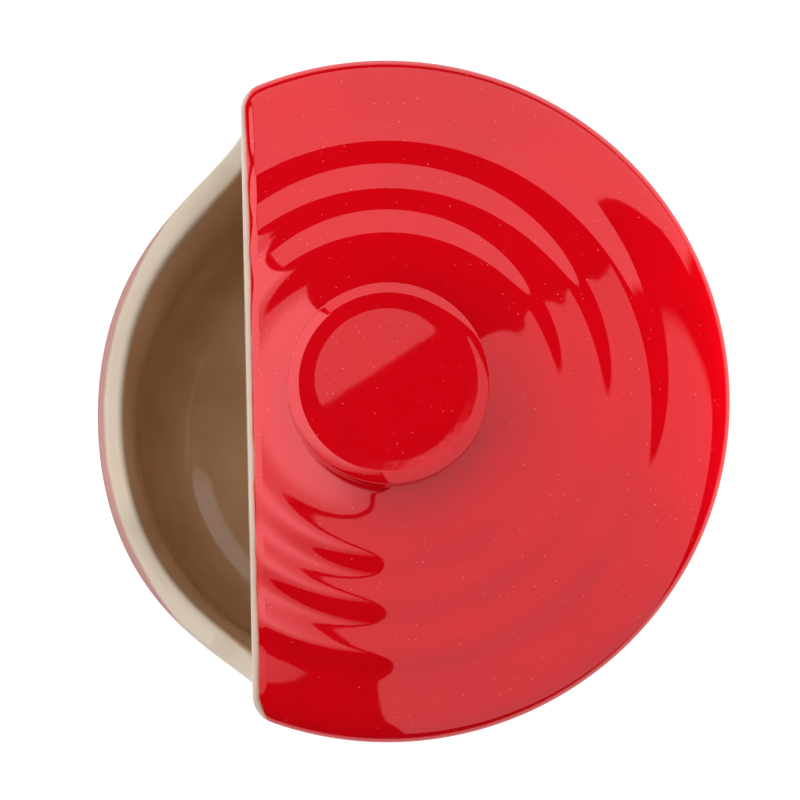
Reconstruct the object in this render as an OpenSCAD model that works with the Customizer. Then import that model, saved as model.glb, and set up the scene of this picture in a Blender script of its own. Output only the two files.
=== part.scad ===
// Stoneware salt crock: a flared bowl with a scooped front lip, a domed lid that is cut
// straight across so that a hand can reach in, and the mushroom knob luted on the lid.
// Millimetres, +Z up. The origin is on the bowl's axis, on the plane the foot ring stands on.
// The open front faces -Y.

/* [Bowl] */
// Height of the seat, the flat top of the rim that the lid rests on
seat_h = 66; // [60:0.5:76]
// Outside diameter of the wall, below its flare
wall_d = 93.8; // [88:0.2:104]
// How far the wall flares out between its lower curve and the seat
rim_flare = 5; // [2:0.1:6]
// Height at which the lower curve becomes the wall
curve_h = 28; // [22:0.5:34]
// Thickness of the wall
wall_t = 4.6; // [4:0.1:6]
// Rounding of the two edges of the seat
rim_round = 1.3; // [0.6:0.1:1.6]
// Thickness of the floor
floor_t = 5; // [4:0.1:8]
// Width of the curve between the floor and the wall, inside
floor_curve = 8; // [5:0.5:22]

/* [Scooped front] */
// How far the lowest point of the front lip lies below the seat
scoop_drop = 22.5; // [14:0.5:24]
// How far the scoop runs back under the lid before it reaches the seat
scoop_back = 2; // [1:0.1:5]
// Depth of the round nose along the scooped rim
lip_nose = 2.3; // [1.5:0.1:3]

/* [Foot ring] */
// Outside diameter of the foot ring
foot_d = 68; // [60:0.5:78]
// Width of the ring's flat face, its roundings included
foot_w = 5; // [4:0.1:8]
// Depth of the hollow inside the ring
foot_h = 2.4; // [1.5:0.1:4]
// Rounding of the ring's two edges
foot_round = 0.8; // [0.4:0.1:1.4]

/* [Lid] */
// How far the brim hangs over the rim
overhang = 3.1; // [2.2:0.1:6]
// Distance from the axis to the straight front edge
lid_cut = 22.5; // [18:0.5:27]
// Thickness of the brim, where its edge starts to roll
brim_t = 4.2; // [3:0.1:6]
// Depth of the rolled edge, all the way round
edge_roll = 3; // [2:0.1:3.6]
// Radius of the two front corners, seen from above
corner_r = 4.6; // [4:0.1:8]
// Thickness at the crown
crown_t = 5; // [4:0.1:7]
// Radius of curvature of the dome under the rings
dome_r = 480; // [300:10:900]
// Radius at which the dome starts to fall away to the brim
skirt_r = 37; // [34:0.5:42]
// How far the brim falls below the dome because of that
skirt_fall = 2; // [0.5:0.1:3.5]

/* [Rings on the lid] */
// Number of rings
ring_count = 3; // [1:1:3]
// Radius of the first ring, at the steepest part of its step
ring_r = 27.4; // [26.6:0.1:29]
// Distance from one ring to the next
ring_pitch = 7.8; // [6:0.1:8]
// Height of each ring's step
ring_drop = 1.05; // [0.4:0.05:1.6]

/* [Locating flange] */
// How far the flange reaches into the bowl
flange_h = 4.5; // [3:0.1:7]
// Thickness of the flange
flange_t = 3.5; // [2.5:0.1:5]
// Clearance between the flange and the wall of the bowl
flange_gap = 0.6; // [0.4:0.05:1.2]
// Distance from the straight front edge to the ends of the flange
flange_setback = 8; // [7:0.5:14]

/* [Knob] */
// Widest diameter of the knob
knob_d = 32; // [28:0.2:36]
// Height of the cap, from its lowest edge to its crest
cap_h = 7; // [5:0.1:10]
// Height of the cap's widest line above its lowest edge
cap_belly = 2.4; // [1.5:0.1:3.5]
// Width of the rounded shoulder between the widest line and the crest
cap_shoulder = 2.5; // [2:0.1:5]
// Depth of the dish in the top
dish = 0.3; // [0.2:0.05:1.2]
// How far the cap overhangs the neck
cap_overhang = 4; // [3.6:0.1:6]
// Height of the neck between the lid's boss and the cap
neck_h = 2.3; // [1.6:0.1:4]
// How far the foot of the neck spreads, to the edge of the boss
neck_foot = 1.3; // [0.5:0.1:2]

/* [Knob seat] */
// Height of the flat boss that the knob stands on, above the dome
boss_h = 3; // [1.2:0.1:4]
// Width of the cove that rises from the dome to the boss
cove_w = 9.7; // [6:0.1:11]
// Diameter of the spigot under the knob
spigot_d = 12; // [8:0.5:18]
// Length of the spigot
spigot_h = 2.2; // [1.5:0.1:3]
// Room for slip around and under the spigot
slip_gap = 0.3; // [0.15:0.05:0.5]

/* [Hidden] */
$fn = 96;

glaze_red = "#d2000f";
// Steps along a curve of an outline, and of a ring's step
arc_steps = 10;
dome_steps = 60;
wall_steps = 30;
// Sinks a joining surface a hair below its neighbour, so that no two faces coincide
seam = 0.06;
// A rolled edge laps over the solid that carries it, and its root reaches back inside, under the faces
edge_lap = 1;
edge_root = 2;
edge_sink = 0.8;
far = 200;

// Bowl
wall_r = wall_d / 2;
rim_r = wall_r + rim_flare;
foot_r = foot_d / 2;
floor_z = foot_h + floor_t;

// Scoop: a round cut across the front, which reaches the seat just behind the lid's front edge
lip_z = seat_h - scoop_drop;
lip_y = wall_at(lip_z) - wall_t / 2;
scoop_end = lid_cut - scoop_back;
scoop_run = lip_y - scoop_end;
scoop_r = (scoop_run ^ 2 + scoop_drop ^ 2) / (2 * scoop_drop);
scoop_z = lip_z + scoop_r;
// The plain cut lies behind the nose by this much, because the wall meets it at a slant
nose_root = lip_nose + wall_t / 2;
lip_stations = 48;
settle_steps = 9;

// Lid
lid_r = rim_r + overhang;
roll_r = lid_r - edge_roll;
crown_z = seat_h + brim_t + ring_count * ring_drop + skirt_fall + roll_r ^ 2 / (2 * dome_r);
boss_r = knob_d / 2 - cap_overhang + neck_foot;
cove_end = boss_r + cove_w;
boss_z = top_z(boss_r);
flange_r = wall_at(seat_h - flange_h) - wall_t - flange_gap;
hollow_r = flange_r - flange_t / 2;
hollow_top = crown_z - crown_t;
corner_y = corner_r - lid_cut;
corner_x = sqrt((lid_r - corner_r) ^ 2 - corner_y ^ 2);
corner_end = atan2(corner_y, corner_x);
cut_stations = 64;

// Knob
knob_r = knob_d / 2;
cap_z = boss_z + neck_h;
belly_z = cap_z + cap_belly;
crest_z = cap_z + cap_h;
crest_r = knob_r - cap_shoulder;

// Outside radius of the bowl: a quarter ellipse up to the wall, then a flare that grows to the seat
function wall_at(z) =
    z < curve_h
    ? foot_r + (wall_r - foot_r) * sqrt(max(0, 1 - ((curve_h - z) / (curve_h - foot_h)) ^ 2))
    : wall_r + rim_flare * ((z - curve_h) / (seat_h - curve_h)) ^ 2;

function add(v, i = 0) = i < len(v) ? v[i] + add(v, i + 1) : 0;

// Rises from 0 to 1 as u goes from -1 to 1, with a slope that swells and fades like a wave
function soft_step(u) = u <= -1 ? 0 : u >= 1 ? 1 : (1 + u + sin(180 * u) / PI) / 2;

function ring_fall(r) =
    ring_drop * add([
        for (i = [0 : ring_count - 1])
        soft_step((r - ring_r - i * ring_pitch) * 2 / ring_pitch)
    ]);

function skirt(r) = skirt_fall * (max(0, r - skirt_r) / (roll_r - skirt_r)) ^ 2;

function cove(r) = boss_h * (max(0, cove_end - r) / cove_w) ^ 3;

// Height of the lid's upper face, and of its underside without the flange
function top_z(r) = crown_z - r ^ 2 / (2 * dome_r) - ring_fall(r) - skirt(r) + cove(r);
function under_z(r) = max(seat_h, hollow_top - (hollow_top - seat_h) * (r / hollow_r) ^ 2);

// Point of a rolled edge: [out, height] at angle a, from 90 on the upper face to -90 on the lower.
// The roll leaves the upper face along its slope.
function roll(high, low, slope, depth, a) = [
    depth * cos(a),
    (high + low) / 2 + (high - low) / 2 * sin(a) - slope * depth * cos(a) * (1 + sin(a)) / 2
];

function arc(c, rx, rz, from, to) = [
    for (i = [0 : arc_steps])
    let (a = from + (to - from) * i / arc_steps)
    c + [rx * cos(a), rz * sin(a)]
];

// Skin over a row of closed outlines that all have the same number of points
module loft(rows) {
    n = len(rows[0]);
    last = len(rows) - 1;
    sides = [
        for (i = [0 : last - 1], j = [0 : n - 1])
        let (k = (j + 1) % n)
        each [
            [i * n + j, i * n + k, (i + 1) * n + k],
            [i * n + j, (i + 1) * n + k, (i + 1) * n + j]
        ]
    ];
    ends = [
        [for (j = [n - 1 : -1 : 0]) j],
        [for (j = [0 : n - 1]) last * n + j]
    ];
    polyhedron([for (row = rows) each row], concat(sides, ends));
}

// Bowl before the front is scooped out, with its rim drawn in by the given amount on all sides
module bowl_blank(inset) {
    top = seat_h - inset;
    outer_wall = [
        for (i = [0 : wall_steps])
        let (z = foot_h + (top - rim_round - foot_h) * (1 - cos(90 * i / wall_steps)))
        [wall_at(z) - inset, z]
    ];
    inner_wall = [
        for (i = [0 : wall_steps])
        let (z = top - rim_round - (top - rim_round - curve_h) * i / wall_steps)
        [wall_at(z) - wall_t + inset, z]
    ];
    rim_out = wall_at(top) - inset - rim_round;
    rim_in = wall_at(top) - wall_t + inset + rim_round;
    floor_r = wall_r - wall_t - floor_curve;
    rotate_extrude()
    polygon(concat(
        [[0, foot_h], [foot_r - foot_w, foot_h]],
        arc([foot_r - foot_w + foot_round, foot_round], foot_round, foot_round, 180, 270),
        arc([foot_r - foot_round, foot_round], foot_round, foot_round, 270, 360),
        outer_wall,
        arc([rim_out, top - rim_round], rim_round, rim_round, 0, 90),
        arc([rim_in, top - rim_round], rim_round, rim_round, 90, 180),
        inner_wall,
        arc([floor_r, curve_h], floor_curve, curve_h - floor_z, 0, -90),
        [[0, floor_z]]
    ));
}

// What is cut out of the front, down to radius r
module scoop(r) {
    rotate([90, 0, 90])
    linear_extrude(far, center = true)
    polygon(concat(
        arc([-lip_y, scoop_z], r, r, 180, 360),
        [[r - lip_y, far], [-r - lip_y, far]]
    ));
}

// Height of the scoop's surface at a distance y in front of the axis
function scoop_at(y) = scoop_z - sqrt(max(0, scoop_r ^ 2 - (lip_y - y) ^ 2));

// Middle of the wall on the scoop at plan angle a from the front, settled by repetition
function lip_height(a, z, n) =
    n == 0 ? z : lip_height(a, scoop_at((wall_at(z) - wall_t / 2) * cos(a)), n - 1);

// Moves q along its radius to the given distance from the middle of the wall
function on_wall(q, offset) =
    let (flat = [q.x, q.y], p = flat / norm(flat) * (wall_at(q.z) - wall_t / 2 + offset))
    [p.x, p.y, q.z];

// Outline across the scooped rim: a round nose whose sides follow the wall's two faces
function lip_section(a) =
    let (
        z = lip_height(a, lip_z, settle_steps),
        r = wall_at(z) - wall_t / 2,
        middle = [r * sin(a), -r * cos(a), z],
        across = [sin(a), -cos(a), 0],
        off = [0, -lip_y - middle.y, scoop_z - z] / scoop_r,
        slant = off - (off * across) * across,
        out = slant / norm(slant),
        half = wall_t / 2 - 2 * seam,
        root = middle - out * (nose_root + edge_root)
    )
    concat(
        [
            for (i = [0 : arc_steps])
            let (t = 180 * i / arc_steps)
            on_wall(middle + out * lip_nose * (sin(t) - 1), half * cos(t))
        ],
        [on_wall(root, -half), on_wall(root, half)]
    );

module lip_bead() {
    reach = acos(scoop_end / (rim_r - wall_t / 2));
    loft([
        for (i = [0 : lip_stations])
        lip_section(reach * (2 * i / lip_stations - 1))
    ]);
}

module crock_bowl() {
    color(glaze_red)
    union() {
        difference() {
            bowl_blank(0);
            scoop(scoop_r + nose_root);
        }
        intersection() {
            lip_bead();
            bowl_blank(seam);
        }
    }
}

// Whole round lid, before its front is cut off
module lid_blank() {
    slope = (top_z(roll_r - seam) - top_z(roll_r)) / seam;
    upper = [
        for (i = [0 : dome_steps])
        let (r = boss_r + (roll_r - boss_r) * i / dome_steps)
        [r, top_z(r)]
    ];
    edge = [
        for (i = [1 : arc_steps * 2])
        let (p = roll(top_z(roll_r), seat_h, slope, edge_roll, 90 - 90 * i / arc_steps))
        [roll_r + p.x, p.y]
    ];
    under = [
        for (i = [0 : arc_steps * 2])
        let (r = hollow_r * (1 - i / (arc_steps * 2)))
        [r, under_z(r)]
    ];
    rotate_extrude()
    polygon(concat([[0, boss_z]], upper, edge, under));
}

// What is cut off in front of the rolled edge's root
module front_waste() {
    root = edge_roll + edge_lap / 2;
    root_y = root - lid_cut;
    corner = [corner_x, corner_y];
    reach = far / norm(corner);
    linear_extrude(far)
    difference() {
        polygon([
            [0, 0], [-corner_x, corner_y] * reach, [-far, -far], [far, -far], corner * reach
        ]);
        polygon([
            [0, lid_r], [-corner_x, corner_y], [-corner_x, root_y], [corner_x, root_y], corner
        ]);
        for (side = [-1, 1])
            translate([side * corner_x, corner_y])
            circle(r = corner_r - root);
    }
}

// Outline across the cut edge at the plan point p of its root, facing the plan direction m
function cut_section(p, m) =
    let (
        high = top_z(norm(p)) - seam,
        low = under_z(norm(p)) + seam,
        slope = (top_z(norm(p)) - top_z(norm(p + m * seam))) / seam,
        lap = p - m * edge_lap,
        back = lap - m * edge_root
    )
    concat(
        [
            for (i = [0 : arc_steps])
            let (
                e = roll(high, low, slope, edge_roll - seam, 90 - 180 * i / arc_steps),
                q = p + m * e.x
            )
            [q.x, q.y, e.y]
        ],
        [
            [lap.x, lap.y, under_z(norm(lap)) + seam],
            [back.x, back.y, under_z(norm(back)) + edge_sink],
            [back.x, back.y, top_z(norm(back)) - edge_sink],
            [lap.x, lap.y, top_z(norm(lap)) - seam]
        ]
    );

module cut_edge() {
    past = 1;
    corner = [
        for (i = [arc_steps - 1 : -1 : 0])
        let (a = -90 + (corner_end + 90) * i / arc_steps, m = [cos(a), sin(a)])
        [[corner_x, corner_y] + m * (corner_r - edge_roll), m]
    ];
    start = let (m = [cos(corner_end + past), sin(corner_end + past)]) [m * roll_r, m];
    chord = [
        for (i = [1 : cut_stations - 1])
        [[corner_x * (1 - 2 * i / cut_stations), edge_roll - lid_cut], [0, -1]]
    ];
    right = concat([start], corner);
    left = [
        for (i = [len(right) - 1 : -1 : 0])
        let (s = right[i])
        [[-s[0].x, s[0].y], [-s[1].x, s[1].y]]
    ];
    loft([for (s = concat(right, chord, left)) cut_section(s[0], s[1])]);
}

// Ring that drops inside the rim and keeps the lid on the axis
module flange() {
    difference() {
        translate([0, 0, seat_h - flange_h])
        cylinder(r = flange_r, h = flange_h + brim_t / 2);
        translate([0, 0, seat_h - far])
        cylinder(r = flange_r - flange_t, h = 2 * far);
        translate([-far / 2, -far - lid_cut + flange_setback, 0])
        cube([far, far, far]);
    }
}

module half_lid() {
    color(glaze_red)
    difference() {
        union() {
            difference() {
                lid_blank();
                front_waste();
            }
            cut_edge();
            flange();
        }
        translate([0, 0, boss_z - spigot_h - slip_gap])
        cylinder(d = spigot_d + 2 * slip_gap, h = far);
    }
}

module lid_knob() {
    neck_z = boss_z + neck_h / 2;
    color(glaze_red)
    rotate_extrude()
    polygon(concat(
        [[0, boss_z - spigot_h], [spigot_d / 2, boss_z - spigot_h], [spigot_d / 2, boss_z]],
        arc([boss_r, neck_z], neck_foot, neck_h / 2, 270, 180),
        arc([knob_r - cap_belly, neck_z], cap_overhang - cap_belly, neck_h / 2, 180, 90),
        arc([knob_r - cap_belly, belly_z], cap_belly, cap_belly, 270, 360),
        arc([crest_r, belly_z], cap_shoulder, crest_z - belly_z, 0, 90),
        [
            for (i = [1 : arc_steps])
            let (r = crest_r * (1 - i / arc_steps))
            [r, crest_z - dish * (1 - (r / crest_r) ^ 2) ^ 2]
        ]
    ));
}

crock_bowl();
half_lid();
lid_knob();
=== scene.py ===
import math

import bmesh
import bpy
import numpy as np
from mathutils import Matrix, Vector


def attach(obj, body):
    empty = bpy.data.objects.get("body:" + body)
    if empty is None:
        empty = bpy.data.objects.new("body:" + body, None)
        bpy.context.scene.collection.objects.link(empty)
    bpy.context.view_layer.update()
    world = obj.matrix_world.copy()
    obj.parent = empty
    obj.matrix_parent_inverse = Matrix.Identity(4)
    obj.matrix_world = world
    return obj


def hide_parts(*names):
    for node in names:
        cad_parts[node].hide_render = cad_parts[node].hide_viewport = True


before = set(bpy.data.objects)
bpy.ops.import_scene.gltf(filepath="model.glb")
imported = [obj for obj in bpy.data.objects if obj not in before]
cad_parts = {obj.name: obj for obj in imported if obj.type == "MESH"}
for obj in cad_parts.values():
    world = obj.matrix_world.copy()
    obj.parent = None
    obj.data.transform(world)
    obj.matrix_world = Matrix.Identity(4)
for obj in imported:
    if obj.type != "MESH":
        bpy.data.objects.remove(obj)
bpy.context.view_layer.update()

MM = 0.001

# The bowl in millimetres, from its axis and the plane that its foot ring stands on
SEAT_H = 66.0
SEAT_ROUND = 1.3
WALL_R = 46.9
WALL_T = 4.6
RIM_FLARE = 5.0
CURVE_H = 28.0
FOOT_R = 34.0
FOOT_W = 5.0
FOOT_H = 2.4
FOOT_ROUND = 0.8
FOOT_EASE = 0.4
# The scoop's lip and round nose, and the spread of the wall at both sides of the lip
LIP_Z = 43.5
LIP_NOSE = 2.3
LIP_INSET = 0.2
SCOOP_END = 20.5
SPREAD = 0.7
SPREAD_END = math.radians(66)
# The inside: the wall is thicker at its foot, and leans over into the floor's curve, in degrees
WALL_FOOT = 29.0
TAPER = 0.8
FLOOR_LEAN = 11.0
FLOOR_CURVE = 8.0
FLOOR_Z = 7.4
# The swirl on the floor, and the degrees round from the middle of the front at which it rises and
# fades
SWIRL_H = 0.54
SWIRL_R = 30.3
SWIRL_RUN = 5.0
SWIRL_START, SWIRL_RISE = 4.0, 14.0
SWIRL_END, SWIRL_FADE = 180.0, 90.0

# The lid
LID_R = 54.985
LID_CUT = 22.5
BRIM_T = 4.2
EDGE_ROLL = 3.0
CORNER_R = 4.6
CUT_ROLL = 2.3
CROWN_T = 5.0
DOME_R = 480.0
SKIRT_R = 37.0
SKIRT_RUN = 9.0
SKIRT_SLOPE = 0.184
BRIM_BEND_R = 47.5
BRIM_BEND = 0.07
# Radius, half width and drop of each ring
RINGS = ((27.45, 3.75, 1.09), (34.95, 3.6, 1.12), (43.1, 2.75, 0.8))
BOSS_R = 13.3
COVE_R = 23.0
COVE_RUN = 5.0
COVE_SLOPE = 0.15
FILLET_R = 16.2
FILLET_H = 2.01
FLANGE_R = 45.6
FLANGE_T = 3.5
FLANGE_H = 4.5
FLANGE_END = 14.5
ROLL_R = LID_R - EDGE_ROLL
HOLLOW_R = FLANGE_R - FLANGE_T / 2

# The knob
KNOB_R = 16.0
CAP_H = 6.99
CAP_BELLY = 2.4
CAP_OVERHANG = 4.0
CREST_R = 14.0
DISH_R = 11.0
DISH_END = 12.2
DISH_CURVE = 0.0055
NECK_H = 2.3
NECK_FOOT = 1.3


def wall_at(z):
    """Outside radius of the bowl: a quarter ellipse up to the wall, then a flare that grows to
    the seat."""
    sink = np.clip((CURVE_H - z) / (CURVE_H - FOOT_H), 0, 1)
    flare = np.clip((z - CURVE_H) / (SEAT_H - CURVE_H), 0, None)
    return FOOT_R + (WALL_R - FOOT_R) * np.sqrt(1 - sink ** 2) + RIM_FLARE * flare ** 2


def eased(t):
    """Height of a slope of 1 that eases in between 0 and 1."""
    bend = np.clip(t, 0, 1)
    return bend ** 3 - bend ** 4 / 2 + np.clip(t - 1, 0, None)


def lid_fall(r):
    """Fall of the lid's upper face from its crown: a low dome, a skirt that steepens to the brim
    and three soft ring steps."""
    fall = r ** 2 / (2 * DOME_R) + SKIRT_SLOPE * SKIRT_RUN * eased((r - SKIRT_R) / SKIRT_RUN)
    bend_w = ROLL_R - BRIM_BEND_R
    fall = fall + BRIM_BEND * bend_w / 3 * (np.clip(r - BRIM_BEND_R, 0, None) / bend_w) ** 3
    for ring_r, half_width, drop in RINGS:
        u = np.clip((r - ring_r) / half_width, -1, 1)
        fall = fall + drop * (1 + u + np.sin(math.pi * u) / math.pi) / 2
    return fall


CROWN_Z = SEAT_H + BRIM_T + float(lid_fall(ROLL_R))
HOLLOW_TOP = CROWN_Z - CROWN_T


def top_z(r):
    """Height of the lid's upper face, with the shallow cove that rises to the knob and its
    fillet."""
    cove = COVE_SLOPE * COVE_RUN * eased((COVE_R - r) / COVE_RUN)
    fillet = FILLET_H * (np.clip(FILLET_R - r, 0, None) / (FILLET_R - BOSS_R)) ** 2
    return CROWN_Z - lid_fall(r) + cove + fillet


def under_z(r):
    """Height of the lid's underside, without the flange."""
    return np.maximum(SEAT_H, HOLLOW_TOP - (HOLLOW_TOP - SEAT_H) * (r / HOLLOW_R) ** 2)


def arc(cr, cz, rr, rz, start, end, steps):
    """Points of an elliptical arc in (radius, height), from start to end in degrees."""
    angles = np.radians(np.linspace(start, end, steps + 1))
    return [(cr + rr * math.cos(a), cz + rz * math.sin(a)) for a in angles]


# Points of a turned skin that are closer than this are one, in millimetres
SAME_POINT = 1e-4


def turned(profile, columns):
    """Skin of revolution about Z, from an outline that runs from the axis to the axis.
    Each vertex keeps the number of its row in the outline."""
    bm = bmesh.new()
    row = bm.verts.layers.int.new("row")
    verts = []
    for i, (r, z) in enumerate(profile):
        verts.append(bm.verts.new((0, -r, z)))
        verts[-1][row] = i
    edges = [bm.edges.new(pair) for pair in zip(verts, verts[1:])]
    bmesh.ops.spin(bm, geom=verts + edges, axis=(0, 0, 1), cent=(0, 0, 0), angle=2 * math.pi,
                   steps=columns, use_merge=True)
    bmesh.ops.remove_doubles(bm, verts=bm.verts, dist=SAME_POINT)
    bmesh.ops.recalc_face_normals(bm, faces=bm.faces)
    return bm, row


def finished(bm, name, body, node, material):
    """Makes the millimetre mesh an object in metres that rides on its body and stands for its
    CAD node."""
    bmesh.ops.scale(bm, vec=(MM, MM, MM), verts=bm.verts)
    bmesh.ops.recalc_face_normals(bm, faces=bm.faces)
    for face in bm.faces:
        face.smooth = True
    mesh = bpy.data.meshes.new(name)
    bm.to_mesh(mesh)
    bm.free()
    piece = bpy.data.objects.new(name, mesh)
    bpy.context.scene.collection.objects.link(piece)
    mesh.materials.append(material)
    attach(piece, body)
    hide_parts(node)


def linear(hex_colour):
    """sRGB hex to linear RGBA."""
    parts = [int(hex_colour[i:i + 2], 16) / 255 for i in (1, 3, 5)]
    return [c / 12.92 if c <= 0.04045 else ((c + 0.055) / 1.055) ** 2.4 for c in parts] + [1.0]


def add(tree, kind, inputs=None, stops=(), **settings):
    """Adds a shader node with its settings and links. An input is a value, or the output that is
    linked to it. stops: the (position, hex colour) keys of a colour ramp."""
    made = tree.nodes.new("ShaderNode" + kind)
    for key, value in settings.items():
        setattr(made, key, value)
    for key, value in (inputs or {}).items():
        if isinstance(value, bpy.types.NodeSocket):
            tree.links.new(value, made.inputs[key])
        else:
            made.inputs[key].default_value = value
    for _ in stops[2:]:
        made.color_ramp.elements.new(0.5)
    for i, (position, colour) in enumerate(stops):
        made.color_ramp.elements[i].position = position
        made.color_ramp.elements[i].color = linear(colour)
    return made


# Sockets of a colour Mix node, by number because their names repeat
SHARE, FIRST, SECOND, MIXED = 0, 6, 7, 2


def new_material(name):
    """A material with an empty tree, and the object's own coordinates in it."""
    material = bpy.data.materials.new(name)
    material.use_nodes = True
    tree = material.node_tree
    tree.nodes.clear()
    return material, tree, add(tree, "TexCoord").outputs["Object"]


# Glaze colours: the red, its thin breaks, the cream of the rim and the cut, and the sand inside
RED = "#DA0010"
RED_DEEP = "#D2000E"
DUST_PINK = "#F3B9B0"
BREAK_LINE = "#C46A44"
# Thin red glaze over the cream, painted paler and greyer as a painted reflection of white on the
# grazing outer edge
THIN_RED_AND_SHEEN = "#B9857F"
CREAM = "#D3C5B3"
CREAM_WARM = "#CEBDA8"
CUT_CREAM = "#C4B5A4"
CUT_TAN = "#B59C84"
SAND_BROWN = "#D7AF86"
SAND_DARK = "#C4986D"
IRON_BROWN = "#4A3524"
CLAY = "#CDB294"
CLAY_DARK = "#B89A78"

# Sizes of the patterns in millimetres. Dust and iron specks are drawn about as coarse as one and
# three pixels, larger than most real ones, because finer ones don't show.
POOLING = 22.0
DUST_NET, DUST_R = 0.8, 0.085
IRON_NET, IRON_R = 6.0, 0.25
PEEL, PEEL_DEPTH = 1.6, 0.004
MOTTLE = 14.0
GRIT = 0.8
# Shares of the nets that hold a speck, and how strongly dust shows
DUST_SHARE, DUST_STRENGTH = 0.6, 0.6
IRON_SHARE = 0.5
PEEL_STRENGTH = 0.5

# The thick red glaze is bright, and its reflections keep some of its red
RED_MIRROR = {"index": 1.7, "strength": 1.0, "tint": "#FFA9AF"}
RED_ROUGH = 0.035
SAND_MIRROR = {"index": 1.5, "strength": 0.38, "tint": "#FFFFFF"}
SAND_ROUGH, CLAY_ROUGH = 0.05, 0.75

# Break of the red along the lid's cut, in millimetres: between two places in front of the axis
# it sinks from above the rolled edge to below it. It wanders, and is lower towards one corner.
BREAK_Y, BREAK_PLACE = (-21.4, -18.2), (1.1, -2.7)
BREAK_NET, BREAK_WANDER = 5.0, 0.3
BREAK_CORNER, BREAK_LOWER = (-44.0, -28.0), -0.45
BREAK_HALF = 0.5
FULL_RED = (0.05, 0.2)

# Lines of the bowl's coats in millimetres outwards from the rim's crest, how far they wander, and
# how far the two inner ones move over between two heights at the sides of the scoop
SAND_TO_CREAM = (-2.4, -1.95)
# Between the next two lines the band is thin red over the cream, painted paler as a painted
# reflection of white on the grazing outer edge
CREAM_TO_THIN_SHEEN = (0.55, 1.0)
THIN_SHEEN_TO_RED = (2.15, 2.9)
COAT_NET, COAT_WANDER = 6.0, 0.25
CREAM_RISE, CREAM_SHIFT = (44.0, 54.0), 0.45
THIN_SHEEN_RISE, THIN_SHEEN_SHIFT = (44.0, 48.0), 1.5
# Heights between which the glaze ends above the bare foot
BARE_FOOT = (1.3, 1.7)


def specks(tree, place, net, share, radius):
    """Mask of round specks of up to a radius, in a share of the cells of a random net, in
    millimetres."""
    cells = add(tree, "TexVoronoi", {"Vector": place, "Scale": 1 / (net * MM)})
    chosen = add(tree, "SeparateColor", {"Color": cells.outputs["Color"]})
    size = add(tree, "MapRange", {"Value": chosen.outputs["Red"], "From Min": 1 - share,
                                  "From Max": 1.0, "To Min": 0.0, "To Max": radius / net})
    speck = add(tree, "Math", {0: cells.outputs["Distance"], 1: size.outputs["Result"]},
                operation="LESS_THAN")
    return speck.outputs["Value"]


def red_body(tree, place):
    """Red glaze colour: soft pooling where the glaze is thicker, and pale specks of dust and
    pinholes."""
    pooling = add(tree, "TexNoise", {"Vector": place, "Scale": 1 / (POOLING * MM), "Detail": 3.0})
    colour = add(tree, "ValToRGB", {"Fac": pooling.outputs["Fac"]},
                 stops=[(0.35, RED_DEEP), (0.6, RED)])
    dust = specks(tree, place, DUST_NET, DUST_SHARE, DUST_R)
    soft = add(tree, "Math", {0: dust, 1: DUST_STRENGTH}, operation="MULTIPLY")
    mixed = add(tree, "Mix", {SHARE: soft.outputs["Value"], FIRST: colour.outputs["Color"],
                              SECOND: linear(DUST_PINK)}, data_type="RGBA")
    return mixed.outputs[MIXED]


def glaze_skin(tree, place):
    """Bump of a fired gloss glaze: a faint orange peel."""
    peel = add(tree, "TexNoise", {"Vector": place, "Scale": 1 / (PEEL * MM), "Detail": 2.0})
    bump = add(tree, "Bump", {"Height": peel.outputs["Fac"], "Strength": PEEL_STRENGTH,
                              "Distance": PEEL_DEPTH * MM})
    return bump.outputs["Normal"]


def gloss(tree, colour, normal, roughness, index, strength, tint):
    """Gloss glaze on the output, with the index, strength and tint of its reflections."""
    shader = add(tree, "BsdfPrincipled", {"Base Color": colour, "Normal": normal,
                                          "Roughness": roughness, "IOR": index,
                                          "Specular IOR Level": strength,
                                          "Specular Tint": linear(tint)})
    add(tree, "OutputMaterial", {"Surface": shader.outputs["BSDF"]})


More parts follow.
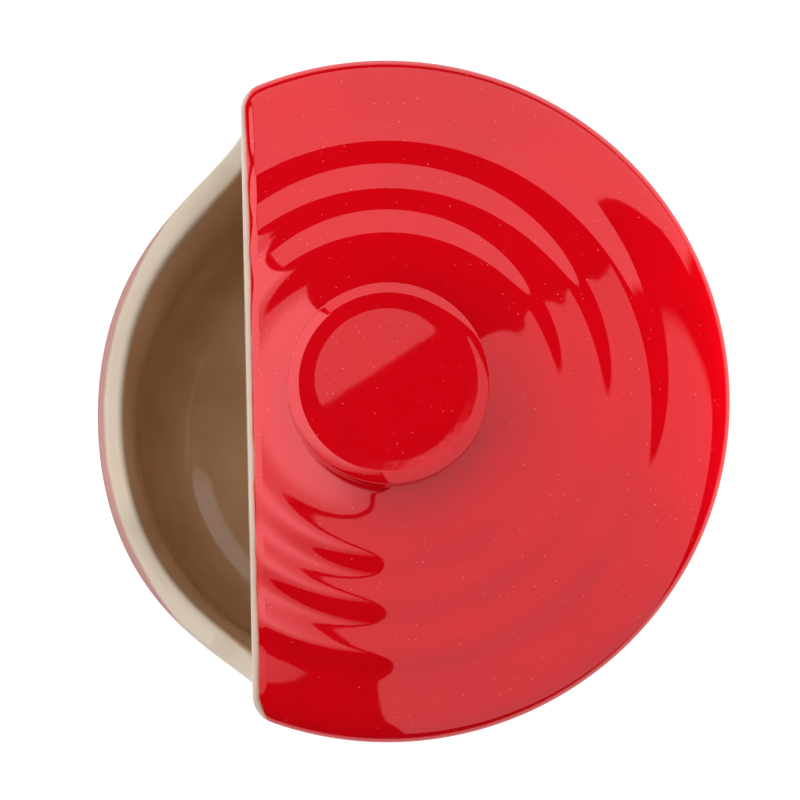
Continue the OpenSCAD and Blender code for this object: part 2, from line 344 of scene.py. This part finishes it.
def lid_glaze():
    """Gloss red stoneware glaze, dipped and fired: deep even red, mirror sharp, that runs thin on
    the cut edge and shows the cream glaze under it there."""
    material, tree, place = new_material("gloss_red_stoneware_glaze_lid")
    red = red_body(tree, place)
    edge = add(tree, "Attribute", attribute_name="edge").outputs["Fac"]
    split = add(tree, "SeparateXYZ", {"Vector": place})
    front = add(tree, "MapRange", {"Value": split.outputs["Y"], "From Min": BREAK_Y[0] * MM,
                                   "From Max": BREAK_Y[1] * MM, "To Min": BREAK_PLACE[0],
                                   "To Max": BREAK_PLACE[1]}, interpolation_type="SMOOTHSTEP")
    wander = add(tree, "TexNoise", {"Vector": place, "Scale": 1 / (BREAK_NET * MM), "Detail": 3.0})
    shift = add(tree, "MapRange", {"Value": wander.outputs["Fac"], "To Min": -BREAK_WANDER,
                                   "To Max": BREAK_WANDER})
    line = add(tree, "Math", {0: front.outputs["Result"], 1: shift.outputs["Result"]},
               operation="ADD")
    corner = add(tree, "MapRange", {"Value": split.outputs["X"], "From Min": BREAK_CORNER[0] * MM,
                                    "From Max": BREAK_CORNER[1] * MM, "To Min": BREAK_LOWER,
                                    "To Max": 0.0})
    line = add(tree, "Math", {0: line.outputs["Value"], 1: corner.outputs["Result"]},
               operation="ADD")
    above = add(tree, "Math", {0: edge, 1: line.outputs["Value"]}, operation="SUBTRACT")
    across_line = add(tree, "MapRange", {"Value": above.outputs["Value"], "From Min": -BREAK_HALF,
                                         "From Max": BREAK_HALF})
    body = add(tree, "ValToRGB", {"Fac": across_line.outputs["Result"]},
               stops=[(0.0, CUT_CREAM), (0.38, CUT_TAN), (0.52, BREAK_LINE), (0.68, RED)])
    is_red = add(tree, "MapRange", {"Value": above.outputs["Value"], "From Min": FULL_RED[0],
                                    "From Max": FULL_RED[1]})
    mixed = add(tree, "Mix", {SHARE: is_red.outputs["Result"], FIRST: body.outputs["Color"],
                              SECOND: red}, data_type="RGBA")
    gloss(tree, mixed.outputs[MIXED], glaze_skin(tree, place), RED_ROUGH, **RED_MIRROR)
    return material


def knob_glaze():
    """The same gloss red stoneware glaze on the knob, whole all over."""
    material, tree, place = new_material("gloss_red_stoneware_glaze_knob")
    gloss(tree, red_body(tree, place), glaze_skin(tree, place), RED_ROUGH, **RED_MIRROR)
    return material


def bowl_glaze():
    """Glazed stoneware: gloss red outside, a cream break along the rim with a thin red line where
    the coats meet, painted paler there as a painted reflection of white on the grazing outer edge,
    and a mottled sand brown gloss with iron specks inside. The foot ring is bare, rough clay."""
    material, tree, place = new_material("gloss_stoneware_glaze_bowl")
    red = red_body(tree, place)
    lip = add(tree, "Attribute", attribute_name="edge").outputs["Fac"]
    wander = add(tree, "TexNoise", {"Vector": place, "Scale": 1 / (COAT_NET * MM), "Detail": 3.0})
    shift = add(tree, "MapRange", {"Value": wander.outputs["Fac"], "To Min": -COAT_WANDER,
                                   "To Max": COAT_WANDER})
    moved = add(tree, "Math", {0: lip, 1: shift.outputs["Result"]}, operation="ADD")
    height = add(tree, "SeparateXYZ", {"Vector": place}).outputs["Z"]
    thin = add(tree, "MapRange", {"Value": height, "From Min": THIN_SHEEN_RISE[0] * MM,
                                  "From Max": THIN_SHEEN_RISE[1] * MM, "To Min": 0.0,
                                  "To Max": THIN_SHEEN_SHIFT})
    outer = add(tree, "Math", {0: moved.outputs["Value"], 1: thin.outputs["Result"]},
                operation="SUBTRACT")
    steep = add(tree, "MapRange", {"Value": height, "From Min": CREAM_RISE[0] * MM,
                                   "From Max": CREAM_RISE[1] * MM, "To Min": 0.0,
                                   "To Max": CREAM_SHIFT})
    inner = add(tree, "Math", {0: moved.outputs["Value"], 1: steep.outputs["Result"]},
                operation="SUBTRACT")
    mottle = add(tree, "TexNoise", {"Vector": place, "Scale": 1 / (MOTTLE * MM), "Detail": 4.0})
    sand = add(tree, "ValToRGB", {"Fac": mottle.outputs["Fac"]},
               stops=[(0.3, SAND_DARK), (0.7, SAND_BROWN)])
    iron = specks(tree, place, IRON_NET, IRON_SHARE, IRON_R)
    inside = add(tree, "Mix", {SHARE: iron, FIRST: sand.outputs["Color"],
                               SECOND: linear(IRON_BROWN)}, data_type="RGBA")
    cream = add(tree, "ValToRGB", {"Fac": mottle.outputs["Fac"]},
                stops=[(0.3, CREAM), (0.7, CREAM_WARM)])
    into = add(tree, "MapRange", {"Value": inner.outputs["Value"], "From Min": SAND_TO_CREAM[0],
                                  "From Max": SAND_TO_CREAM[1]}, interpolation_type="SMOOTHSTEP")
    rim = add(tree, "Mix", {SHARE: into.outputs["Result"], FIRST: inside.outputs[MIXED],
                            SECOND: cream.outputs["Color"]}, data_type="RGBA")
    # The thin red band, painted paler and greyer as a painted reflection of white where the outer
    # edge grazes the view
    over = add(tree, "MapRange", {"Value": outer.outputs["Value"], "From Min": CREAM_TO_THIN_SHEEN[0],
                                  "From Max": CREAM_TO_THIN_SHEEN[1]})
    line = add(tree, "Mix", {SHARE: over.outputs["Result"], FIRST: rim.outputs[MIXED],
                             SECOND: linear(THIN_RED_AND_SHEEN)}, data_type="RGBA")
    out = add(tree, "MapRange", {"Value": moved.outputs["Value"], "From Min": THIN_SHEEN_TO_RED[0],
                                 "From Max": THIN_SHEEN_TO_RED[1]})
    coat = add(tree, "Mix", {SHARE: out.outputs["Result"], FIRST: line.outputs[MIXED],
                             SECOND: red}, data_type="RGBA")
    glazed = add(tree, "MapRange", {"Value": height, "From Min": BARE_FOOT[0] * MM,
                                    "From Max": BARE_FOOT[1] * MM})
    grit = add(tree, "TexNoise", {"Vector": place, "Scale": 1 / (GRIT * MM), "Detail": 4.0})
    clay = add(tree, "ValToRGB", {"Fac": grit.outputs["Fac"]},
               stops=[(0.3, CLAY_DARK), (0.7, CLAY)])
    whole = add(tree, "Mix", {SHARE: glazed.outputs["Result"], FIRST: clay.outputs["Color"],
                              SECOND: coat.outputs[MIXED]}, data_type="RGBA")
    rough = add(tree, "MapRange", {"Value": glazed.outputs["Result"], "To Min": CLAY_ROUGH,
                                   "To Max": SAND_ROUGH})
    gloss(tree, whole.outputs[MIXED], glaze_skin(tree, place), rough.outputs["Result"],
          **SAND_MIRROR)
    return material


# Bowl: one outline from the middle of the foot, over the rim, to the middle of the floor
BOWL_COLUMNS = 360
ROUND_STEPS = 6
CURVE_STEPS = 30
WALL_ROWS = 24
NOSE_STEPS = 20
FLOOR_ROWS = 40
# Edge distance of the rows below the wall, and the part of it that the wall's rows run through
FAR_FROM_RIM, WALL_REACH = 30.0, 20.0
# The rim unrolled flat: its radius, and the spacing, easing and passes of its samples
UNROLL_R = 48.0
SCOOP_SAMPLES = 800
SAMPLE = 0.2
CORNER_EASE, EASE_PASSES = 4.0, 2
# The nose is squarer at the seat than at the lip, and changes over the last height below the seat
LIP_SQUARE = 0.5
SEAT_SQUARE = 0.42
LEVEL_RUN = 1.5
# Share of its rise that the wall stands upright, and the most that it stands square to the rim
UPRIGHT = 0.4
SQUARE_MOST = 5.0


def rim_line():
    """Middle line of the rim, unrolled flat: its length, and its arc and height at even samples
    from the middle of the front, through the scoop, to the back."""
    lip_y = wall_at(LIP_Z) - WALL_T / 2
    drop = SEAT_H - LIP_Z
    scoop_r = ((lip_y - SCOOP_END) ** 2 + drop ** 2) / (2 * drop)
    scoop_z = LIP_Z + scoop_r
    turn = np.linspace(-math.pi / 2, math.asin((SEAT_H - scoop_z) / scoop_r), SCOOP_SAMPLES)
    z = scoop_z + scoop_r * np.sin(turn)
    y = lip_y - scoop_r * np.cos(turn)
    around = np.arccos(np.clip(y / (wall_at(z) - WALL_T / 2), -1, 1)) * UNROLL_R
    around = np.append(around, math.pi * UNROLL_R)
    z = np.append(z, SEAT_H)
    along = np.append(0, np.cumsum(np.hypot(np.diff(around), np.diff(z))))
    even = np.arange(0, along[-1], SAMPLE)
    around, z = np.interp(even, along, around), np.interp(even, along, z)
    width = int(CORNER_EASE / SAMPLE)
    mean = np.ones(2 * width + 1) / (2 * width + 1)
    for _ in range(EASE_PASSES):
        around = np.convolve(np.pad(around, width, "reflect", reflect_type="odd"), mean, "valid")
        z = np.convolve(np.pad(z, width, "reflect"), mean, "valid")
    return even, around, z


def bowl_outline():
    """(radius, height, climb, nose angle, distance from the rim's crest) of every row of the bowl.
    Below the wall, climb and nose angle are None."""
    half = WALL_T / 2
    ring_r = FOOT_R - FOOT_W
    below = [(0, FOOT_H), (ring_r / 2, FOOT_H), (ring_r - FOOT_EASE, FOOT_H)]
    below += arc(ring_r + FOOT_ROUND, FOOT_ROUND, FOOT_ROUND, FOOT_ROUND, 180, 270, ROUND_STEPS)
    below += arc(FOOT_R - FOOT_ROUND, FOOT_ROUND, FOOT_ROUND, FOOT_ROUND, 270, 360, ROUND_STEPS)
    turn = np.radians(np.linspace(0, 90, CURVE_STEPS + 1))
    heights = FOOT_H + (WALL_FOOT - FOOT_H) * (1 - np.cos(turn))
    below += [(float(wall_at(z)), z) for z in heights]
    rows = [(r, z, None, None, FAR_FROM_RIM) for r, z in below]
    nose_z = SEAT_H - LIP_NOSE
    climbs = np.linspace(0, 1, WALL_ROWS + 1)[1:]
    for c in climbs:
        z = WALL_FOOT + (nose_z - WALL_FOOT) * c
        rows.append((float(wall_at(z)), z, c, 0.0, half + WALL_REACH * (1 - c)))
    for a in np.linspace(0, math.pi, NOSE_STEPS + 1)[1:]:
        r = float(wall_at(SEAT_H)) - half + half * math.cos(a)
        rows.append((r, nose_z + LIP_NOSE * math.sin(a), 1.0, a, half * math.cos(a)))
    for c in climbs[::-1][1:]:
        z = WALL_FOOT + (nose_z - WALL_FOOT) * c
        rows.append((float(wall_at(z)) - WALL_T, z, c, math.pi, -half - WALL_REACH * (1 - c)))
    wall_r = float(wall_at(WALL_FOOT)) - WALL_T - TAPER
    lean = math.radians(FLOOR_LEAN)
    depth = CURVE_H - FLOOR_Z
    run = WALL_FOOT - CURVE_H + depth * math.sin(lean)
    floor_r = wall_r - run * FLOOR_CURVE / depth * math.tan(lean) - FLOOR_CURVE * math.cos(lean)
    inner = [(wall_r, WALL_FOOT)]
    inner += arc(floor_r, CURVE_H, FLOOR_CURVE, depth, -FLOOR_LEAN, -90, CURVE_STEPS)
    inner += [(r, FLOOR_Z) for r in np.linspace(floor_r, 0, FLOOR_ROWS + 1)[1:]]
    return rows + [(r, z, None, None, -FAR_FROM_RIM) for r, z in inner]


def swirl(x, y):
    """Height of the low swirl that the thrower's hand left on one side of the floor."""
    away = np.clip((math.hypot(x, y) - SWIRL_R) / SWIRL_RUN, 0, 1)
    turn = math.degrees(math.atan2(x, -y))
    start = np.clip((turn - SWIRL_START) / SWIRL_RISE, 0, 1)
    end = np.clip((SWIRL_END - turn) / SWIRL_FADE, 0, 1)
    return SWIRL_H * float((1 - away ** 2 * (3 - 2 * away)) * start ** 2 * (3 - 2 * start) * end)


def rim_column(turn, length, rim_turn, height):
    """Crest of the rim in the column at a turn, the direction that it faces on the unrolled wall,
    and how far it has come to the level of the seat."""
    s = abs(turn) / math.pi * length[-1]
    u, z = np.interp(s, length, rim_turn), np.interp(s, length, height)
    ahead, behind = s + SAMPLE, s - SAMPLE
    du = np.interp(ahead, length, rim_turn) - np.interp(behind, length, rim_turn)
    dz = np.interp(ahead, length, height) - np.interp(behind, length, height)
    level = max(0.0, min(1.0, (z - SEAT_H + LEVEL_RUN) / LEVEL_RUN))
    return Vector((u, z)), Vector((-dz, du)).normalized(), level


def wall_line(foot, base, out, t):
    """Point at a share of the curve that leaves the wall's foot upright and meets the rim
    square."""
    rise = (base.y - foot.y) * UPRIGHT
    p1, p2 = foot + Vector((0, rise)), base - out * min(SQUARE_MOST, rise)
    lower = foot * (1 - t) ** 3 + 3 * p1 * t * (1 - t) ** 2
    return lower + 3 * p2 * t * t * (1 - t) + base * t ** 3


def shape_scoop(bm, row, rows):
    """Leans the columns of the wall into the scoop, so that they meet the rim square and the nose
    stays round, and raises the swirl on the floor."""
    line = rim_line()
    edge = bm.verts.layers.float.new("edge")
    columns = {}
    for v in bm.verts:
        _, _, climb, nose, from_crest = rows[v[row]]
        v[edge] = from_crest
        if climb is None:
            if from_crest < 0:
                v.co.z += swirl(v.co.x, v.co.y)
            continue
        turn = math.atan2(v.co.x, -v.co.y)
        key = round(turn * BOWL_COLUMNS / (2 * math.pi))
        if key not in columns:
            columns[key] = rim_column(turn, *line)
        crest, out, level = columns[key]
        depth = LIP_NOSE + (SEAT_ROUND - LIP_NOSE) * level
        power = LIP_SQUARE + (SEAT_SQUARE - LIP_SQUARE) * level
        half = WALL_T / 2 - LIP_INSET * climb
        if nose >= math.pi:
            half += TAPER * (1 - climb)
        swing = math.copysign(abs(math.cos(nose)) ** power, math.cos(nose)) * half
        if climb < 1:
            foot = Vector((abs(turn) * UNROLL_R, WALL_FOOT))
            place = wall_line(foot, crest - out * depth, out, climb)
        else:
            v[edge] = swing
            fall = depth * (1 - max(0.0, math.sin(nose)) ** power)
            place = crest - out * fall
        around = min(place.x / UNROLL_R, SPREAD_END)
        spread = SPREAD * climb * math.sin(math.pi * around / SPREAD_END) ** 2
        r = float(wall_at(place.y)) - WALL_T / 2 + swing + spread
        a = math.copysign(place.x / UNROLL_R, turn)
        v.co = (r * math.sin(a), -r * math.cos(a), place.y)


def make_bowl():
    """The flared bowl with its foot ring, scooped lip and round nose."""
    rows = bowl_outline()
    bm, row = turned([(r, z) for r, z, *_ in rows], BOWL_COLUMNS)
    shape_scoop(bm, row, rows)
    finished(bm, "glazed_bowl", "bowl", "crock_bowl", bowl_glaze())


# Lid: one outline from the boss, over the rings and the rolled brim, to the middle of the underside
LID_COLUMNS = 400
TOP_ROWS = 100
ROLL_STEPS = 24
BRIM_ROWS = 5
HOLLOW_ROWS = 24
CORNER_SHARE = 3.0
SLOPE_STEP = 0.05
# Rounded edge of the flange: distance from its face and share of its height
FLANGE_EDGE = ((0.02, 0.4), (0.04, 0.8), (0.25, 0.95), (0.8, 1.0))
FLANGE_EASE = math.radians(2.5)
# Distance inside the outline that the boss and the underside are given
BOSS_INSIDE, UNDER_INSIDE = 10.0, -EDGE_ROLL - 1.0


def lid_outline():
    """(zone, place in the zone, flange share) of every row of the lid."""
    outer, inner = FLANGE_R, FLANGE_R - FLANGE_T
    rows = [("boss", 0.0, 0), ("boss", 0.5, 0)]
    rows += [("top", t, 0) for t in np.linspace(0, 1, TOP_ROWS + 1)]
    rows += [("roll", a, 0) for a in np.radians(np.linspace(90, -90, ROLL_STEPS + 1))[1:]]
    rows += [("under", r, 0) for r in np.linspace(ROLL_R, outer, BRIM_ROWS + 1)[1:]]
    rows += [("under", outer - d, share) for d, share in FLANGE_EDGE]
    rows += [("under", inner + d, share) for d, share in FLANGE_EDGE[::-1]]
    rows += [("under", r, 0) for r in np.linspace(inner, 0, HOLLOW_ROWS + 1)]
    return rows


def cut_outline(share):
    """Root of the rolled edge at a share of the half outline, from 0 at the middle of the straight
    cut to 1 at the back: its plan point, the direction that it faces and the width of the roll."""
    corner_x = math.sqrt((LID_R - CORNER_R) ** 2 - (LID_CUT - CORNER_R) ** 2)
    corner = Vector((corner_x, CORNER_R - LID_CUT))
    end = math.atan2(corner.y, corner.x)
    bend = CORNER_R * (end + math.pi / 2) * CORNER_SHARE
    lengths = (corner.x, bend, LID_R * (math.pi / 2 - end))
    s = share * sum(lengths)
    if s < lengths[0]:
        return Vector((s, CUT_ROLL - LID_CUT)), Vector((0, -1)), CUT_ROLL
    s -= lengths[0]
    if s < lengths[1]:
        a = -math.pi / 2 + (end + math.pi / 2) * s / lengths[1]
        m = Vector((math.cos(a), math.sin(a)))
        roll = CUT_ROLL + (EDGE_ROLL - CUT_ROLL) * s / lengths[1]
        return corner + m * (CORNER_R - roll), m, roll
    a = end + (math.pi / 2 - end) * min(1.0, (s - lengths[1]) / lengths[2])
    m = Vector((math.cos(a), math.sin(a)))
    return m * ROLL_R, m, EDGE_ROLL


def lid_point(zone, where, flange, p, m, roll):
    """Place of a lid row in the column whose root is p and faces m, and its distance inside the
    outline."""
    far = p.length
    if zone == "boss":
        q = p / far * BOSS_R * where
        return q, float(top_z(BOSS_R)), BOSS_INSIDE
    if zone == "top":
        q = p / far * (BOSS_R + (far - BOSS_R) * where)
        return q, float(top_z(q.length)), roll + far - q.length
    if zone == "roll":
        high, low = float(top_z(far)), float(under_z(far))
        slope = float(top_z(far) - top_z((p + m * SLOPE_STEP).length)) / SLOPE_STEP
        out = roll * math.cos(where)
        lean = slope * out * (1 + math.sin(where)) / 2
        z = (high + low) / 2 + (high - low) / 2 * math.sin(where) - lean
        return p + m * out, z, math.copysign(roll - out, where)
    q = p / far * where * far / ROLL_R
    front = math.acos(max(-1.0, min(1.0, FLANGE_END / HOLLOW_R)))
    turn = math.atan2(p.x, -p.y)
    window = max(0.0, min(1.0, (turn - front) / FLANGE_EASE))
    z = float(under_z(q.length))
    return q, z + (SEAT_H - FLANGE_H - z) * flange * window, UNDER_INSIDE


def shape_cut(bm, row, rows):
    """Draws the columns of the round lid in to the straight cut and its two round corners."""
    edge = bm.verts.layers.float.new("edge")
    roots = {}
    for v in bm.verts:
        zone, where, flange = rows[v[row]]
        turn = math.atan2(v.co.x, -v.co.y)
        key = round(abs(turn) * LID_COLUMNS / (2 * math.pi))
        if key not in roots:
            roots[key] = cut_outline(2 * key / LID_COLUMNS)
        q, z, inside = lid_point(zone, where, flange, *roots[key])
        v[edge] = inside
        v.co = (math.copysign(q.x, v.co.x), q.y, z)


def make_lid():
    """The ringed dome with its rolled cut and brim, and the flange that drops into the bowl."""
    rows = lid_outline()
    p, m = Vector((0, ROLL_R)), Vector((0, 1))
    plain = [lid_point(*each, p, m, EDGE_ROLL) for each in rows]
    bm, row = turned([(q.length, z) for q, z, _ in plain], LID_COLUMNS)
    shape_cut(bm, row, rows)
    finished(bm, "glazed_half_lid", "lid", "half_lid", lid_glaze())


# Knob: one outline from the middle of its foot, round the neck and the belly, to the middle of
# its top
KNOB_COLUMNS = 256
NECK_STEPS = 12
BELLY_STEPS = 16
EDGE_STEPS = 10
DISH_ROWS = 56
FOOT_ROW = 0.6
SIDE_ROWS = (0.25, 0.5, 0.75)
# Edge of the top, from its flat ring outwards: radius of each bend, and its end tilt in degrees
KNOB_EDGE = ((1.0, 14.0), (10.5, 22.0), (0.4, 86.0))


def knob_edge(crest_z):
    """Outline of the knob's edge, from the flat ring outwards."""
    points, r, z, tilt = [], CREST_R, crest_z, 0.0
    for bend, end in KNOB_EDGE:
        lean = math.radians(tilt)
        r, z = r - bend * math.sin(lean), z - bend * math.cos(lean)
        points += arc(r, z, bend, bend, 90 - tilt, 90 - end, EDGE_STEPS)
        (r, z), tilt = points[-1], end
    return points


def dish_rise(r):
    """Rise of the knob's dished top from its middle: round, with a short turn to the flat ring."""
    turn = DISH_END - DISH_R
    out = np.clip(r - DISH_R, 0, turn)
    return DISH_CURVE * (np.minimum(r, DISH_R) ** 2 / 2 + DISH_R * (out - out ** 2 / (2 * turn)))


def make_knob():
    """The mushroom knob: a short neck, a round belly and a dished top."""
    boss_z = float(top_z(BOSS_R))
    neck_z = boss_z + NECK_H / 2
    belly_z = boss_z + NECK_H + CAP_BELLY
    crest_z = boss_z + NECK_H + CAP_H
    side = KNOB_R - CAP_BELLY
    outline = [(0, boss_z), (BOSS_R * FOOT_ROW, boss_z)]
    outline += arc(BOSS_R, neck_z, NECK_FOOT, NECK_H / 2, 270, 180, NECK_STEPS)
    outline += arc(side, neck_z, CAP_OVERHANG - CAP_BELLY, NECK_H / 2, 180, 90, NECK_STEPS)
    outline += arc(side, belly_z, CAP_BELLY, CAP_BELLY, 270, 360, BELLY_STEPS)
    edge = knob_edge(crest_z)[::-1]
    end_r, end_z = edge[0]
    outline += [(KNOB_R - (KNOB_R - end_r) * t ** 2, belly_z + (end_z - belly_z) * t)
                for t in SIDE_ROWS]
    outline += edge
    outline += [(r, crest_z - float(dish_rise(DISH_END) - dish_rise(r)))
                for r in np.linspace(CREST_R, 0, DISH_ROWS + 1)[1:]]
    bm, _ = turned(outline, KNOB_COLUMNS)
    finished(bm, "glazed_knob", "lid", "lid_knob", knob_glaze())


make_bowl()
make_lid()
make_knob()

# Floor: white paper a hair below the foot ring, which the camera and the glaze see lit up
FLOOR_HALF = 4.0
FLOOR_GAP = 0.05
PAPER_WHITE = "#F2F2F0"
PAPER_GLOW = 0.55
floor_mesh = bpy.data.meshes.new("paper_floor")
floor_bm = bmesh.new()
bmesh.ops.create_grid(floor_bm, x_segments=1, y_segments=1, size=FLOOR_HALF,
                      matrix=Matrix.Translation((0, 0, -FLOOR_GAP * MM)))
floor_bm.to_mesh(floor_mesh)
floor_bm.free()
floor = bpy.data.objects.new("paper_floor", floor_mesh)
bpy.context.scene.collection.objects.link(floor)
paper, paper_tree, _ = new_material("matt_white_paper")
matt = add(paper_tree, "BsdfDiffuse", {"Color": linear(PAPER_WHITE)})
rays = add(paper_tree, "LightPath").outputs
seen = add(paper_tree, "Math", {0: rays["Is Camera Ray"], 1: rays["Is Glossy Ray"]},
           operation="MAXIMUM")
seen = add(paper_tree, "Math", {0: seen.outputs["Value"], 1: rays["Is Transmission Ray"]},
           operation="MAXIMUM")
lift = add(paper_tree, "Math", {0: seen.outputs["Value"], 1: PAPER_GLOW}, operation="MULTIPLY")
glow = add(paper_tree, "Emission", {"Strength": lift.outputs["Value"]})
both = add(paper_tree, "AddShader", {0: matt.outputs["BSDF"], 1: glow.outputs["Emission"]})
add(paper_tree, "OutputMaterial", {"Surface": both.outputs["Shader"]})
floor_mesh.materials.append(paper)

# A dim studio round the lamps. The camera sees it white.
DIM = 0.03
world = bpy.data.worlds.new("dim_studio")
bpy.context.scene.world = world
world.use_nodes = True
world.node_tree.nodes.clear()
sight = add(world.node_tree, "LightPath").outputs
strength = add(world.node_tree, "MapRange", {"Value": sight["Is Camera Ray"], "To Min": DIM,
                                             "To Max": 1.0})
sky = add(world.node_tree, "Background", {"Strength": strength.outputs["Result"]})
add(world.node_tree, "OutputWorld", {"Surface": sky.outputs["Background"]})

# Middle of the lid, which the lamps face and the softboxes are placed from, in metres
LID_LEVEL = Vector((0, 0, 0.07))


def softbox(name, corner, across, down, radiance, fades=(), mirrored=True):
    """Rectangular soft lamp from one corner and its two sides, square to each other, in metres.
    fades: (side of the cloth, share of the cloth from there, its light there) where it darkens."""
    corner, across, down = Vector(corner), Vector(across), Vector(down)
    lamp = bpy.data.lights.new(name, "AREA")
    lamp.shape = "RECTANGLE"
    lamp.size, lamp.size_y = across.length, down.length
    lamp.energy = radiance * math.pi * across.length * down.length
    box = bpy.data.objects.new(name, lamp)
    centre = corner + (across + down) / 2
    x, y = across.normalized(), down.normalized()
    z = x.cross(y)
    flipped = z.dot(LID_LEVEL - centre) > 0
    if flipped:
        y, z = -y, -z
    box.matrix_world = Matrix((x, y, z)).transposed().to_4x4()
    box.location = centre
    box.visible_camera = False
    box.visible_glossy = mirrored
    bpy.context.scene.collection.objects.link(box)
    lamp.use_nodes = True
    tree = lamp.node_tree
    tree.nodes.clear()
    cloth = add(tree, "NewGeometry").outputs["Parametric"]
    place = add(tree, "SeparateXYZ", {"Vector": cloth}).outputs
    bright = 1.0
    for side, share, light in fades:
        axis = "X" if side in ("start", "end") else "Y"
        near = 0.0 if side == "start" or side == ("low" if flipped else "top") else 1.0
        fade = add(tree, "MapRange", {"Value": place[axis], "From Min": near,
                                      "From Max": abs(near - share), "To Min": light},
                   interpolation_type="SMOOTHSTEP")
        bright = add(tree, "Math", {0: fade.outputs["Result"], 1: bright},
                     operation="MULTIPLY").outputs["Value"]
    shine = add(tree, "Emission", {"Strength": bright})
    add(tree, "OutputLight", {"Surface": shine.outputs["Emission"]})


# Softbox behind the object and to its right, one corner almost overhead
softbox("softbox_back", LID_LEVEL + Vector((-0.0442, -0.078, 1.2)), (-0.3823, 0.6308, -0.2737),
        (0.873, 0.1169, -0.95), 0.8, fades=[("end", 0.05, 0.0)])
# Tall softbox in front of the open mouth
softbox("softbox_front", LID_LEVEL + Vector((-0.4624, -0.176, 1.6)), (1.0497, 0.1221, -0.4015),
        (-0.3948, -0.5138, -1.188), 1.9, fades=[("top", 0.34, 0.5), ("end", 0.22, 0.3)])
# Upright softbox at the left of someone who faces the mouth
softbox("softbox_side", LID_LEVEL + Vector((-0.75, -0.44, 1.26)), (0, 1.92, -0.154),
        (0, -0.088, -1.1), 1.08, fades=[("end", 0.1, 0.0)])
# Fill lamps that no glaze mirrors: one overhead, one on the open side, and two small ones, close
# behind the brim and in the mouth
softbox("fill_top", (-0.55, -0.2, 0.9), (0.5, 0, 0), (0, 0.5, 0), 1.4, mirrored=False)
softbox("fill_front", (0.15, -0.6, 0.9), (0.3, 0, 0), (0, 0.2, 0.2), 1.8, mirrored=False)
softbox("fill_back", (-0.045, 0.082, 0.085), (0.07, 0, 0), (0, 0.01, -0.016), 5.2,
        mirrored=False)
softbox("fill_mouth", (0.0217, -0.044, 0.0718), (0, 0.02, 0), (-0.0034, 0, -0.0196), 3.2,
        mirrored=False)

# Camera: almost straight above, with the open front at the left of the picture
TILT, SIDE, ROLL = math.radians(6.5), math.radians(0.9), math.radians(-1.25)
AIM_H, AIM_RIGHT, AIM_UP = 68.5 * MM, 2.06 * MM, -0.26 * MM
LENS, SENSOR = 253.1, 36.0
CAMERA_AWAY = 0.9
across = Vector((math.sin(TILT) * math.sin(SIDE), math.cos(SIDE),
                 math.cos(TILT) * math.sin(SIDE)))
down = Vector((math.cos(TILT), 0, -math.sin(TILT)))
back = Vector((math.sin(TILT) * math.cos(SIDE), -math.sin(SIDE),
               math.cos(TILT) * math.cos(SIDE)))
right = across * math.cos(ROLL) - down * math.sin(ROLL)
up = -(across * math.sin(ROLL) + down * math.cos(ROLL))
camera_data = bpy.data.cameras.new("camera")
camera_data.lens = LENS
camera_data.sensor_width = SENSOR
camera = bpy.data.objects.new("camera", camera_data)
camera.matrix_world = Matrix((right, up, back)).transposed().to_4x4()
camera.location = Vector((0, 0, AIM_H)) + right * AIM_RIGHT + up * AIM_UP + back * CAMERA_AWAY
bpy.context.scene.collection.objects.link(camera)
bpy.context.scene.camera = camera

bpy.context.scene.view_settings.view_transform = "Standard"

bpy.context.view_layer.update()
